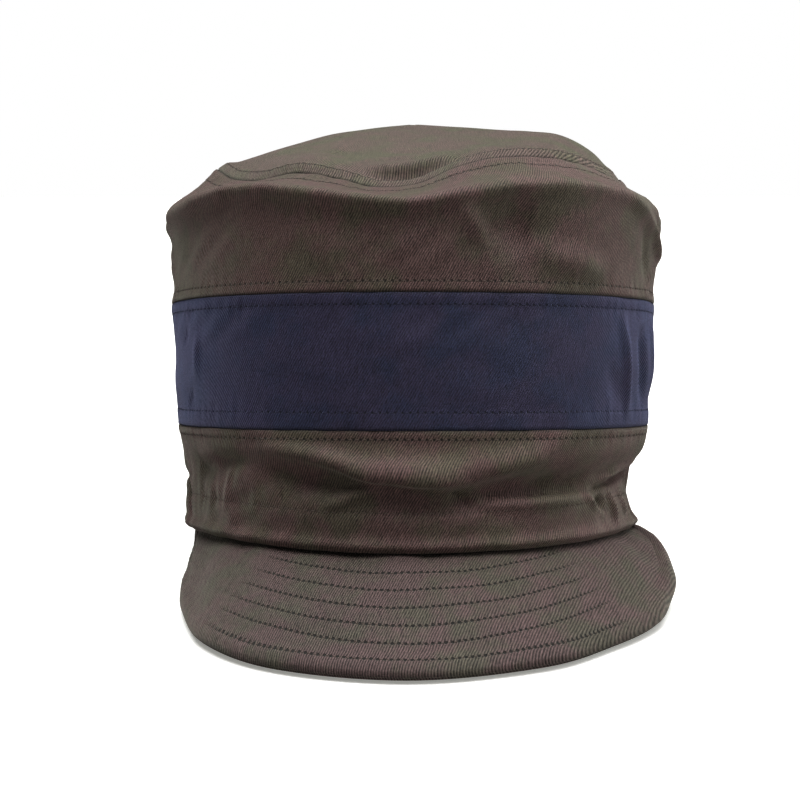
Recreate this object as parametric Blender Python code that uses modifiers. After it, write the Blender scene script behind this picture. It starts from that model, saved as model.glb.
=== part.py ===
# Twill cap: an oval crown of four cloths, one of them a navy band, and a short sewn visor.
# The cap is modelled upright, with its rim in the plane z = 0 and its front towards -Y. It is
# then leaned back until the visor's edge and the back of the rim both stand on the ground.
#
# A place on the crown is a turn, in degrees from the front towards +X, and a level, which
# counts the cloths upwards: 0 rim, 1 and 2 seams of the navy band, 3 top seam, 4 top centre.

import math

import bpy
import numpy as np

# Driving sizes in metres
RIM_WIDTH = 0.171
RIM_DEPTH = 0.202
BODY_WIDTH = 0.187
BODY_DEPTH = 0.208
TOP_WIDTH = 0.159
TOP_DEPTH = 0.168
CROWN_HEIGHT = 0.160
VISOR_REACH = 0.046
VISOR_DROP = 0.0350
VISOR_CROWN = 0.003
CLOTH = 0.0016
VISOR_CLOTH = 0.0016
SEAM_GAP = 0.0003
FOLD_DEPTH = 0.004
GATHER_DEPTH = 0.0016
GATHER_PITCH = 0.0165

# Heights of the cloths, as shares of the crown's height
LOWER_HEIGHT = 0.25625 * CROWN_HEIGHT
BAND_HEIGHT = 0.2875 * CROWN_HEIGHT
UPPER_HEIGHT = 0.325 * CROWN_HEIGHT
DOME_HEIGHT = 0.13125 * CROWN_HEIGHT

# Shapes without a length: degrees, levels and plain shares
SQUARENESS = 2.25
VISOR_SWEEP = 78.0
CREASE_LEVEL = 2.5
INNER_LEVEL = 3.85
SHOULDER_ROUNDING = 0.56
DIP_FADE = 5
SEAM_STEP = 0.08
GATHER_LEVEL = 0.32
GATHER_SPREAD = 0.30
SETTLED_TURN = 22.0
LIFTED_TURN = 45.0
EDGE_CROWDING = 0.6
END_CROWDING = 0.8

# Columns and rows of each cloth's mesh
LOWER_MESH = (144, 6)
BAND_MESH = (72, 4)
UPPER_MESH = (80, 7)
TOP_MESH = (80, 5)
VISOR_MESH = (44, 5)

# Radii at a level, as shares of the rim, body or top size that rules there
SECTIONS = np.array([
    # level, left, right, front, back
    (0.00, 1.010, 0.995, 1.000, 1.000),
    (0.33, 0.988, 0.962, 1.000, 0.985),
    (0.60, 0.985, 0.935, 1.005, 0.990),
    (0.80, 0.982, 0.980, 1.000, 0.990),
    (1.00, 0.982, 0.979, 0.995, 0.990),
    (1.25, 0.995, 0.988, 1.000, 1.000),
    (1.50, 1.000, 1.003, 1.003, 1.000),
    (2.00, 1.006, 1.000, 1.000, 1.000),
    (2.12, 1.000, 0.998, 0.988, 0.988),
    (2.27, 1.000, 1.010, 0.962, 0.970),
    (2.40, 1.014, 1.024, 0.975, 0.980),
    (2.50, 1.032, 1.026, 0.985, 0.995),
    (2.60, 1.040, 1.034, 0.978, 1.000),
    (2.75, 1.005, 1.020, 0.980, 1.000),
    (2.90, 0.975, 1.020, 0.995, 1.000),
    (3.00, 0.965, 1.015, 1.000, 1.000),
])

# Height of the shoulder crease and of the top seam over the band, as shares of the upper cloth
SHOULDER = np.array([
    # turn, crease, seam
    (-180, 0.58, 1.00),
    (-110, 0.58, 1.00),
    (-85, 0.585, 1.03),
    (-69, 0.62, 0.97),
    (-53, 0.66, 0.85),
    (-40, 0.69, 0.80),
    (-29, 0.68, 0.825),
    (-19, 0.63, 0.78),
    (-9, 0.58, 0.72),
    (0, 0.57, 0.74),
    (10, 0.63, 0.85),
    (19, 0.73, 0.91),
    (35, 0.79, 0.93),
    (57, 0.70, 0.89),
    (72, 0.60, 0.90),
    (87, 0.57, 0.97),
    (115, 0.58, 1.00),
    (180, 0.58, 1.00),
])

# Rise of the top cloth over the top seam, as shares of the dome's height
DOME = np.array([
    # level, left, right, front, back
    (3.00, 0.00, 0.00, 0.00, 0.00),
    (3.13, 0.20, 0.46, -0.02, 0.32),
    (3.28, 0.42, 0.76, 0.06, 0.58),
    (3.43, 0.60, 0.82, 0.25, 0.75),
    (3.58, 0.76, 0.85, 0.46, 0.87),
    (3.73, 0.86, 0.91, 0.68, 0.94),
    (4.00, 1.00, 1.00, 1.00, 1.00),
])

# Soft ridges and dents: the place of each, how far it spreads in degrees and levels, and its
# depth as a share of the fold depth. Bow bends it, in levels at one spread to either side.
FOLDS = np.array([
    # turn, level, around, along, depth, lean, bow
    (1, 0.69, 27, 0.10, 0.65, 0.0, 0.19),
    (-20, 0.58, 13, 0.14, -0.60, -0.2, 0.0),
    (27, 0.54, 13, 0.11, -0.65, 0.2, 0.0),
    (29, 0.38, 15, 0.10, 0.30, 0.0, 0.0),
    (9, 0.42, 5, 0.09, -0.45, 0.0, 0.0),
    (-13, 0.47, 7, 0.09, 0.30, 0.5, 0.0),
    (-58, 0.62, 9, 0.20, -0.40, 0.0, 0.0),
    (60, 1.45, 6, 0.42, 0.30, 0.0, 0.0),
    (72, 1.40, 7, 0.35, -0.30, 0.0, 0.0),
    (-74, 1.62, 9, 0.20, -0.30, 0.0, 0.0),
    (-70, 1.14, 9, 0.13, -0.35, 0.0, 0.0),
    (18, 2.29, 9, 0.10, -0.55, 0.0, 0.0),
    (9, 2.34, 5, 0.10, 0.25, 0.6, 0.0),
    (31, 2.16, 10, 0.07, 0.30, -0.5, 0.0),
    (-28, 2.13, 18, 0.06, 0.20, 0.0, 0.0),
    (78, 2.30, 9, 0.14, 0.30, 0.0, 0.0),
    (0, 3.10, 16, 0.10, -0.60, 0.0, 0.0),
    (-34, 3.15, 13, 0.13, 0.45, 0.0, 0.0),
    (34, 3.14, 16, 0.12, 0.35, 0.0, 0.0),
    (150, 2.25, 16, 0.14, -0.35, 0.3, 0.0),
    (-145, 1.55, 14, 0.30, -0.30, 0.0, 0.0),
    (120, 0.72, 14, 0.16, 0.35, 0.0, 0.0),
    (-125, 0.70, 14, 0.16, 0.35, 0.0, 0.0),
])

# Strength of the gathers round the rim, where the back half is drawn in
GATHERS = np.array([
    # turn, strength
    (-180, 0.90),
    (-120, 0.90),
    (-75, 1.00),
    (-45, 0.30),
    (-25, 0.00),
    (25, 0.00),
    (50, 0.30),
    (75, 0.90),
    (120, 0.90),
    (180, 0.90),
])

# Outer edge of the visor. Side and ahead run from the ends of the visor's seam, at 1 and 0, to
# the tip in front. Lift is 0 on the ground and 1 in the rim's plane.
VISOR_EDGE = np.array([
    # sweep, side, ahead, lift
    (-1.00, -1.010, -0.005, 0.90),
    (-0.93, -0.985, 0.085, 0.40),
    (-0.84, -0.995, 0.190, 0.08),
    (-0.72, -1.000, 0.320, 0.00),
    (-0.58, -0.965, 0.490, 0.00),
    (-0.42, -0.845, 0.725, 0.00),
    (-0.22, -0.540, 0.918, 0.00),
    (0.00, -0.020, 1.000, 0.00),
    (0.22, 0.495, 0.905, 0.00),
    (0.42, 0.795, 0.740, 0.00),
    (0.58, 0.985, 0.590, 0.03),
    (0.70, 1.070, 0.450, 0.13),
    (0.80, 1.125, 0.340, 0.36),
    (0.90, 1.105, 0.185, 0.70),
    (1.00, 1.025, -0.005, 0.93),
])

# Colour, roughness and metallic value of each cloth
OLIVE = ((0.105, 0.088, 0.072, 1.0), 0.88, 0.0)
NAVY = ((0.026, 0.027, 0.062, 1.0), 0.86, 0.0)
VISOR_OLIVE = ((0.098, 0.082, 0.073, 1.0), 0.9, 0.0)


# A smooth curve through the rows of a table: cubic steps between places, with the slope at each
# row taken across its neighbours. The values may hold one column for each column of at.
def smooth_through(places, values, at):
    gaps = np.diff(places)
    steps = np.diff(values, axis=0) / gaps[:, None]
    inner = (values[2:] - values[:-2]) / (places[2:] - places[:-2])[:, None]
    slopes = np.concatenate([steps[:1], inner, steps[-1:]])
    row = np.clip(np.searchsorted(places, at, side="right") - 1, 0, len(gaps) - 1)
    share = (at - places[row]) / gaps[row]

    def pick(table, rows):
        wide = np.broadcast_to(table, (len(table), at.shape[1]))
        return np.take_along_axis(wide, rows, axis=0)

    rising = share * share * (3 - 2 * share)
    leaving = share * (1 - share) ** 2
    arriving = share * share * (share - 1)
    level = pick(values, row) * (1 - rising) + pick(values, row + 1) * rising
    turning = leaving * pick(slopes, row) + arriving * pick(slopes, row + 1)
    return level + gaps[row] * turning


# Values of one column of a table whose first column goes once round, from -180 to 180.
def round_table(table, column, turns):
    once = table[:-1]
    places = np.concatenate([once[:, 0] - 360, once[:, 0], once[:, 0] + 360])
    values = np.tile(once[:, column], 3)[:, None]
    wrapped = (turns + 180) % 360 - 180
    return smooth_through(places, values, wrapped[:, None])[:, 0]


# One table column blended from left, right, front and back by the squares of sine and cosine.
def blend_sides(left, right, front, back, turns):
    across, ahead = np.sin(np.radians(turns)), np.cos(np.radians(turns))
    side = np.where(across > 0, right, left)
    end = np.where(ahead > 0, front, back)
    return side * across**2 + end * ahead**2


# Outward push of the folds: exp(-u^2 - v^2), u round the crown and v along its height.
def fold_push(turns, levels):
    push = np.zeros(levels.shape)
    for turn, level, around, along, depth, lean, bow in FOLDS:
        across = ((turns - turn + 180) % 360 - 180) / around
        up = (levels - level - bow * across**2) / along - lean * across
        push = push + depth * FOLD_DEPTH * np.exp(-(across**2) - up**2)
    return push


# Ripples of the drawn-in rim, strongest at the casing's stitches and gone at the band.
def gather_push(turns, levels):
    count = round(math.pi * (RIM_WIDTH + RIM_DEPTH) / 2 / GATHER_PITCH)
    uneven = 0.6 * np.sin(np.radians(3 * turns)) + 0.5 * levels
    wave = np.cos(np.radians(count * turns) + uneven)
    fade = np.exp(-(((levels - GATHER_LEVEL) / GATHER_SPREAD) ** 2)) * np.clip(1 - levels, 0, 1)
    return GATHER_DEPTH * round_table(GATHERS, 1, turns) * wave * fade


# Points of the crown for turns (n,) and levels (m, n). The radius of a level is the
# superellipse through its four radii, and folds move it along the wall's rough normal.
def crown(turns, levels):
    rules = (0, 1, CREASE_LEVEL, 3)
    half_width = np.interp(SECTIONS[:, 0], rules, (RIM_WIDTH, BODY_WIDTH, BODY_WIDTH, TOP_WIDTH)) / 2
    half_depth = np.interp(SECTIONS[:, 0], rules, (RIM_DEPTH, BODY_DEPTH, BODY_DEPTH, TOP_DEPTH)) / 2
    sizes = SECTIONS[:, 1:] * np.stack([half_width, half_width, half_depth, half_depth], axis=1)
    middle = np.concatenate([SECTIONS[:, 0], [3.5, 4.0]])
    sizes = np.concatenate([sizes, sizes[-1:] / 2, sizes[-1:] * 0])
    left, right, front, back = (
        smooth_through(middle, sizes[:, [side]], levels) for side in range(4)
    )
    across, ahead = np.sin(np.radians(turns)), np.cos(np.radians(turns))
    width = np.where(across > 0, right, left)
    depth = np.where(ahead > 0, front, back)
    sum_of_powers = np.abs(across / width) ** SQUARENESS + np.abs(ahead / depth) ** SQUARENESS
    radius = sum_of_powers ** (-1 / SQUARENESS)

    band_top = LOWER_HEIGHT + BAND_HEIGHT
    crease = band_top + UPPER_HEIGHT * round_table(SHOULDER, 1, turns)
    seam = band_top + UPPER_HEIGHT * round_table(SHOULDER, 2, turns)
    flat = np.zeros(len(turns))
    rows = [flat, flat + LOWER_HEIGHT / 2, flat + LOWER_HEIGHT, flat + band_top - BAND_HEIGHT / 2]
    rounded = crease + SHOULDER_ROUNDING * (seam - crease)
    rows += [flat + band_top, (crease + band_top) / 2, crease, rounded]
    places = [0, 0.5, 1, 1.5, 2, (2 + CREASE_LEVEL) / 2, CREASE_LEVEL, (CREASE_LEVEL + 3) / 2]
    top = band_top + UPPER_HEIGHT
    for level, *sides in DOME:
        dip = (seam - top) * (4 - level) ** DIP_FADE
        rows.append(top + DOME_HEIGHT * blend_sides(*sides, turns) + dip)
        places.append(level)
    height = smooth_through(np.array(places), np.array(rows), levels)

    push = fold_push(turns, levels) + gather_push(turns, levels)
    upward = np.clip(levels - CREASE_LEVEL, 0, 1) * math.pi / 2
    radius = radius + push * np.cos(upward)
    return np.stack([radius * across, -radius * ahead, height + push * np.sin(upward)], axis=-1)


def row_shares(rows):
    even = np.linspace(0, 1, rows + 1)[:, None]
    return even - EDGE_CROWDING * np.sin(2 * math.pi * even) / (2 * math.pi)


def unit(vectors):
    return vectors / np.linalg.norm(vectors, axis=-1, keepdims=True)


# The level that lies half a gap above (+1) or below (-1) a seam, along the cloth. Where the
# crown bends inwards at the seam, two walls lean together behind it, so the gap is wider by
# that lean times the cloth's thickness.
def seam_level(turns, level, way):
    below, seam, above = (
        crown(turns, np.full((1, len(turns)), level + step))[0] for step in (-SEAM_STEP, 0, SEAM_STEP)
    )
    ahead = crown(turns + 1, np.full((1, len(turns)), float(level)))[0]
    outward = unit(np.cross(ahead - seam, above - below))
    bend = unit(seam - below) - unit(above - seam)
    lean = np.maximum((bend * outward).sum(axis=-1), 0)
    side = above - seam if way > 0 else seam - below
    half_gap = (SEAM_GAP + CLOTH * lean) / 2
    return level + way * SEAM_STEP * half_gap / np.linalg.norm(side, axis=-1)


# Levels of a cloth's rows from its lower edge to its upper edge, each an array over the turns.
# The rows lie closer together at the edges, where two cloths have to lean alike.
def cloth_levels(turns, low, high, rows):
    lower = np.zeros(len(turns)) if low == 0 else seam_level(turns, low, 1)
    upper = seam_level(turns, high, -1)
    return lower + (upper - lower) * row_shares(rows)


def rim_tips():
    front, back = crown(np.array([0.0, 180.0]), np.zeros((1, 2)))[0, :, 1]
    return front - VISOR_REACH, back


# The ground in the upright frame: a plane through the back of the rim and below the visor's tip.
def lean_angle():
    tip, back = rim_tips()
    return math.atan2(VISOR_DROP, back - tip)


def ground_at(ahead):
    return math.tan(lean_angle()) * (ahead - rim_tips()[1])


# Height of points over the ground, square to it.
def over_ground(points):
    return (points[..., 2] - ground_at(points[..., 1])) * math.cos(lean_angle())


def ground_up():
    return np.array([0.0, -math.sin(lean_angle()), math.cos(lean_angle())])


# The rim's back stands on the ground: its lowest row drops straight from the row above it.
def settle_back(grid, turns):
    dropped = grid[1] - over_ground(grid[1])[:, None] * ground_up()
    from_back = 180 - np.abs((turns + 180) % 360 - 180)
    resting = np.clip((LIFTED_TURN - from_back) / (LIFTED_TURN - SETTLED_TURN), 0, 1)[:, None]
    grid[0] = grid[0] + (dropped - grid[0]) * resting
    return grid


# How steeply the visor falls to the ground in front, in radians.
def visor_slope():
    front = crown(np.array([0.0]), np.zeros((1, 1)))[0, 0]
    return math.atan2(over_ground(front), VISOR_REACH / math.cos(lean_angle()))


# Upper face of the visor for sweeps (n,) from -1 to 1 and shares (m, 1) from seam to edge: a
# straight line from one to the other, bowed up in between.
def visor(sweeps, shares):
    turns = VISOR_SWEEP * sweeps
    seam = crown(turns, np.zeros((1, len(turns))))[0]
    seam[:, :2] *= 1 - CLOTH / np.linalg.norm(seam[:, :2], axis=1, keepdims=True)
    seam[:, 2] -= SEAM_GAP
    end = crown(np.array([VISOR_SWEEP]), np.zeros((1, 1)))[0, 0]
    side, ahead, lift = (
        smooth_through(VISOR_EDGE[:, 0], VISOR_EDGE[:, [column]], sweeps[:, None])[:, 0]
        for column in (1, 2, 3)
    )
    tip = rim_tips()[0]
    edge_y = end[1] + ahead * (tip - end[1])
    edge_height = (2 * VISOR_CLOTH + SEAM_GAP) * math.cos(visor_slope())
    edge_z = (1 - lift) * (ground_at(edge_y) + edge_height)
    edge = np.stack([side * end[0], edge_y, edge_z], axis=1)
    bow = 4 * VISOR_CROWN * shares * (1 - shares) * np.cos(math.pi / 2 * sweeps) ** 0.5
    grid = seam + (edge - seam) * shares[..., None]
    grid[..., 2] += bow
    return grid


# Unit normals of an open grid, pointing to the side that its columns and rows turn to.
def grid_normals(grid):
    return unit(np.cross(np.gradient(grid, axis=1), np.gradient(grid, axis=0)))


# A mesh of the grid's quads. A closed grid joins its last column to its first, and a pole
# closes its last row with a fan.
def grid_mesh(name, grid, closed, pole=None, flip=False):
    rows, columns = grid.shape[:2]
    index = np.arange(rows * columns).reshape(rows, columns)
    if closed:
        index = np.concatenate([index, index[:, :1]], axis=1)
    quads = np.stack([index[:-1, :-1], index[:-1, 1:], index[1:, 1:], index[1:, :-1]], axis=-1)
    faces = quads.reshape(-1, 4).tolist()
    points = grid.reshape(-1, 3)
    if pole is not None:
        faces += [(low, high, len(points)) for low, high in zip(index[-1, :-1], index[-1, 1:])]
        points = np.concatenate([points, pole[None]])
    if flip:
        faces = [tuple(reversed(face)) for face in faces]
    mesh = bpy.data.meshes.new(name)
    mesh.from_pydata(points.tolist(), [], faces)
    mesh.shade_smooth()
    return mesh


def cloth_material(name, look):
    colour, roughness, metallic = look
    material = bpy.data.materials.new(name)
    material.use_nodes = True
    shader = material.node_tree.nodes["Principled BSDF"]
    shader.inputs["Base Color"].default_value = colour
    shader.inputs["Roughness"].default_value = roughness
    shader.inputs["Metallic"].default_value = metallic
    material.diffuse_color = colour
    return material


# An open surface given its cloth's thickness behind its faces.
def add_cloth(name, mesh, thickness, look, collection, carrier):
    piece = bpy.data.objects.new(name, mesh)
    collection.objects.link(piece)
    piece.parent = carrier
    piece.data.materials.append(cloth_material(name, look))
    wall = piece.modifiers.new("cloth", "SOLIDIFY")
    wall.thickness = thickness
    wall.offset = -1
    return piece


def add_ring(name, low, high, mesh_size, look, collection, carrier):
    columns, rows = mesh_size
    turns = np.arange(columns) * 360 / columns
    grid = crown(turns, cloth_levels(turns, low, high, rows))
    if low == 0:
        grid = settle_back(grid, turns)
    return add_cloth(name, grid_mesh(name, grid, True), CLOTH, look, collection, carrier)


def add_top(collection, carrier):
    columns, rows = TOP_MESH
    turns = np.arange(columns) * 360 / columns
    lower = seam_level(turns, 3, 1)
    levels = lower + (INNER_LEVEL - lower) * row_shares(rows - 1)
    grid = crown(turns, levels)
    peak = np.array([0.0, 0.0, LOWER_HEIGHT + BAND_HEIGHT + UPPER_HEIGHT + DOME_HEIGHT])
    mesh = grid_mesh("top_panel", grid, True, pole=peak)
    return add_cloth("top_panel", mesh, CLOTH, OLIVE, collection, carrier)


def add_visor(collection, carrier):
    columns, rows = VISOR_MESH
    angles = np.linspace(-math.pi / 2, math.pi / 2, columns + 1)
    sweeps = np.sin(END_CROWDING * angles) / math.sin(END_CROWDING * math.pi / 2)
    shares = np.linspace(0, 1, rows + 1)[:, None]
    upper = visor(sweeps, shares)
    turned = upper[::-1]
    mesh = grid_mesh("visor_top_cloth", turned, False)
    top = add_cloth("visor_top_cloth", mesh, VISOR_CLOTH, VISOR_OLIVE, collection, carrier)
    lower = turned - grid_normals(turned) * (2 * VISOR_CLOTH + SEAM_GAP)
    sunk = np.minimum(over_ground(lower), 0)
    lower = lower - sunk[..., None] * ground_up()
    mesh = grid_mesh("visor_under_cloth", lower, False, flip=True)
    under = add_cloth("visor_under_cloth", mesh, VISOR_CLOTH, VISOR_OLIVE, collection, carrier)
    return top, under


# Corners of the box round all pieces as they stand.
def standing_box(pieces):
    bpy.context.view_layer.update()
    graph = bpy.context.evaluated_depsgraph_get()
    corners = []
    for piece in pieces:
        evaluated = piece.evaluated_get(graph)
        mesh = evaluated.to_mesh()
        points = np.array([evaluated.matrix_world @ vertex.co for vertex in mesh.vertices])
        evaluated.to_mesh_clear()
        corners += [points.min(axis=0), points.max(axis=0)]
    return np.min(corners, axis=0), np.max(corners, axis=0)


def build_cap():
    for old in list(bpy.data.objects):
        bpy.data.objects.remove(old, do_unlink=True)
    collection = bpy.data.collections.new("twill_cap")
    bpy.context.scene.collection.children.link(collection)
    carrier = bpy.data.objects.new("standing_cap", None)
    collection.objects.link(carrier)
    carrier.rotation_euler = (-lean_angle(), 0, 0)

    pieces = [
        add_ring("lower_side_panel", 0, 1, LOWER_MESH, OLIVE, collection, carrier),
        add_ring("band_panel", 1, 2, BAND_MESH, NAVY, collection, carrier),
        add_ring("upper_side_panel", 2, 3, UPPER_MESH, OLIVE, collection, carrier),
        add_top(collection, carrier),
        *add_visor(collection, carrier),
    ]
    low, high = standing_box(pieces)
    carrier.location = (-(low[0] + high[0]) / 2, -(low[1] + high[1]) / 2, -low[2])


build_cap()
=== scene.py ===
import math

import bpy
import numpy as np
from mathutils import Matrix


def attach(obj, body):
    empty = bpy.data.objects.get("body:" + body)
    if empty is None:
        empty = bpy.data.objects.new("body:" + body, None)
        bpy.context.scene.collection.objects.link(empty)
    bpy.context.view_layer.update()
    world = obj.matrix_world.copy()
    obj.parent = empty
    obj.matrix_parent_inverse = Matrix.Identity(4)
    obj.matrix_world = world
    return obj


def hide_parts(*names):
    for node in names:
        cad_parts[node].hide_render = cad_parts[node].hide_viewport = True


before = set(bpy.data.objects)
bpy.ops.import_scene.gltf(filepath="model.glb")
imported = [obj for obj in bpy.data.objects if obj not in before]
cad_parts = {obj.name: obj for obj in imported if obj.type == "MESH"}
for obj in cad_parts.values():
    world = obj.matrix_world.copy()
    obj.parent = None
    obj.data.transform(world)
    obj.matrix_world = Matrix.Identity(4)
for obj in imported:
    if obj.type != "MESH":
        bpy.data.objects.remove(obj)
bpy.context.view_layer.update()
print("frame loaded")

# The cap is shaped upright, with its rim in z = 0 and its front towards -Y, and then leaned back
# until the visor's edge and the back of the rim stand on the floor. Sizes are in metres. A place
# on the crown is a turn, in degrees from the front towards +X, and a level: 0 rim, 1 and 2 seams
# of the navy band, 3 top seam, 4 top centre.
cap = {
    "rim": (0.171, 0.202),  # width and depth
    "body": (0.187, 0.208),
    "top": (0.159, 0.168),
    "lower": 0.041,  # heights of the four cloths
    "band": 0.046,
    "upper": 0.052,
    "dome": 0.021,
    "creaseLevel": 2.5,
    "squareness": 2.25,
    "shoulderRounding": 0.56,
    "dipFade": 5,
    "wall": 0.0016,
    "seamGap": 0.0003,
    "foldDepth": 0.004,
    "gatherDepth": 0.0013,
    "gatherPitch": 0.0165,
    "visorReach": 0.046,
    "visorDrop": 0.035,
    "visorCrown": 0.003,
    "visorSweep": 78.0,
    "standsAt": (-0.00065, 0.01691, 0.01415),
}

# Radii at a level, as shares of the rim, body or top size that rules there
sections = np.array([
    # level, left, right, front, back
    (0.00, 1.010, 0.995, 1.000, 1.000),
    (0.33, 0.988, 0.962, 1.000, 0.985),
    (0.60, 0.985, 0.935, 1.005, 0.990),
    (0.80, 0.982, 0.980, 1.000, 0.990),
    (1.00, 0.982, 0.979, 0.995, 0.990),
    (1.25, 0.995, 0.988, 1.000, 1.000),
    (1.50, 1.000, 1.003, 1.003, 1.000),
    (2.00, 1.006, 1.000, 1.000, 1.000),
    (2.12, 0.998, 0.998, 1.003, 0.988),
    (2.27, 1.002, 1.006, 1.012, 0.970),
    (2.40, 1.013, 1.018, 1.019, 0.980),
    (2.50, 1.036, 1.028, 1.029, 0.995),
    (2.60, 1.040, 1.034, 1.010, 1.000),
    (2.75, 1.005, 1.020, 0.992, 1.000),
    (2.90, 0.975, 1.020, 0.995, 1.000),
    (3.00, 0.965, 1.015, 1.000, 1.000),
])

# Height of the shoulder crease and of the top seam over the band, as shares of the upper cloth
shoulder = np.array([
    # turn, crease, seam
    (-180, 0.58, 1.00),
    (-110, 0.58, 1.00),
    (-85, 0.585, 1.03),
    (-69, 0.62, 0.97),
    (-53, 0.66, 0.85),
    (-40, 0.69, 0.80),
    (-29, 0.68, 0.825),
    (-19, 0.63, 0.78),
    (-9, 0.58, 0.72),
    (0, 0.57, 0.74),
    (10, 0.63, 0.85),
    (19, 0.69, 0.91),
    (35, 0.72, 0.93),
    (57, 0.67, 0.89),
    (72, 0.60, 0.90),
    (87, 0.57, 0.97),
    (115, 0.58, 1.00),
    (180, 0.58, 1.00),
])

# Rise of the top cloth over the top seam, as shares of the dome's height
dome = np.array([
    # level, left, right, front, back
    (3.00, 0.00, 0.00, 0.00, 0.00),
    (3.13, 0.20, 0.46, -0.02, 0.32),
    (3.28, 0.42, 0.76, 0.06, 0.58),
    (3.43, 0.60, 0.82, 0.25, 0.75),
    (3.58, 0.76, 0.85, 0.46, 0.87),
    (3.73, 0.86, 0.91, 0.68, 0.94),
    (4.00, 1.00, 1.00, 1.00, 1.00),
])

# Broad ridges and dents: place, spread in degrees and levels, depth as a share of the fold depth
folds = np.array([
    # turn, level, around, along, depth, lean, bow
    (1, 0.69, 27, 0.10, 0.65, 0.0, 0.19),
    (-20, 0.58, 13, 0.14, -0.60, -0.2, 0.0),
    (27, 0.54, 13, 0.11, -0.65, 0.2, 0.0),
    (29, 0.38, 15, 0.10, 0.30, 0.0, 0.0),
    (9, 0.42, 5, 0.09, -0.45, 0.0, 0.0),
    (-13, 0.47, 7, 0.09, 0.30, 0.5, 0.0),
    (-58, 0.62, 9, 0.20, -0.40, 0.0, 0.0),
    (60, 1.45, 6, 0.42, 0.30, 0.0, 0.0),
    (72, 1.40, 7, 0.35, -0.30, 0.0, 0.0),
    (-74, 1.62, 9, 0.20, -0.30, 0.0, 0.0),
    (-70, 1.14, 9, 0.13, -0.35, 0.0, 0.0),
    (18, 2.29, 9, 0.10, -0.55, 0.0, 0.0),
    (9, 2.34, 5, 0.10, 0.25, 0.6, 0.0),
    (31, 2.16, 10, 0.07, 0.15, -0.5, 0.0),
    (78, 2.30, 9, 0.14, 0.30, 0.0, 0.0),
    (0, 3.10, 16, 0.10, -0.60, 0.0, 0.0),
    (-34, 3.15, 13, 0.13, 0.45, 0.0, 0.0),
    (34, 3.14, 16, 0.12, 0.35, 0.0, 0.0),
    (150, 2.25, 16, 0.14, -0.35, 0.3, 0.0),
    (-145, 1.55, 14, 0.30, -0.30, 0.0, 0.0),
    (120, 0.72, 14, 0.16, 0.35, 0.0, 0.0),
    (-125, 0.70, 14, 0.16, 0.35, 0.0, 0.0),
])

# Strength of the gathers round the rim
gathers = np.array([
    # turn, strength
    (-180, 0.90),
    (-120, 0.90),
    (-75, 1.00),
    (-45, 0.30),
    (-25, 0.00),
    (25, 0.00),
    (50, 0.30),
    (75, 0.60),
    (120, 0.90),
    (180, 0.90),
])

# Rise of the rim at both ends of the visor's seam
rimLift = np.array([
    # turn, lift in mm
    (-180, 0.0),
    (-120, 0.0),
    (-90, 1.0),
    (-60, 2.4),
    (-40, 2.0),
    (-20, 0.6),
    (0, 0.0),
    (20, 0.8),
    (40, 2.0),
    (60, 2.8),
    (90, 1.3),
    (120, 0.0),
    (180, 0.0),
])

# Outer edge of the visor, from the ends of its seam at 1 and 0 to the tip in front. Lift is 0 on
# the floor and 1 in the rim's plane.
visorEdge = np.array([
    # sweep, side, ahead, lift
    (-1.00, -1.010, -0.005, 0.90),
    (-0.93, -0.985, 0.085, 0.40),
    (-0.84, -0.995, 0.190, 0.08),
    (-0.72, -1.000, 0.320, 0.00),
    (-0.58, -0.965, 0.490, 0.00),
    (-0.42, -0.845, 0.725, 0.00),
    (-0.22, -0.540, 0.918, 0.00),
    (0.00, -0.020, 1.000, 0.00),
    (0.22, 0.495, 0.905, 0.00),
    (0.42, 0.795, 0.740, 0.00),
    (0.58, 0.985, 0.590, 0.03),
    (0.70, 1.070, 0.450, 0.13),
    (0.80, 1.118, 0.330, 0.36),
    (0.90, 1.110, 0.170, 0.68),
    (1.00, 1.025, -0.005, 0.93),
])

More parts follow.
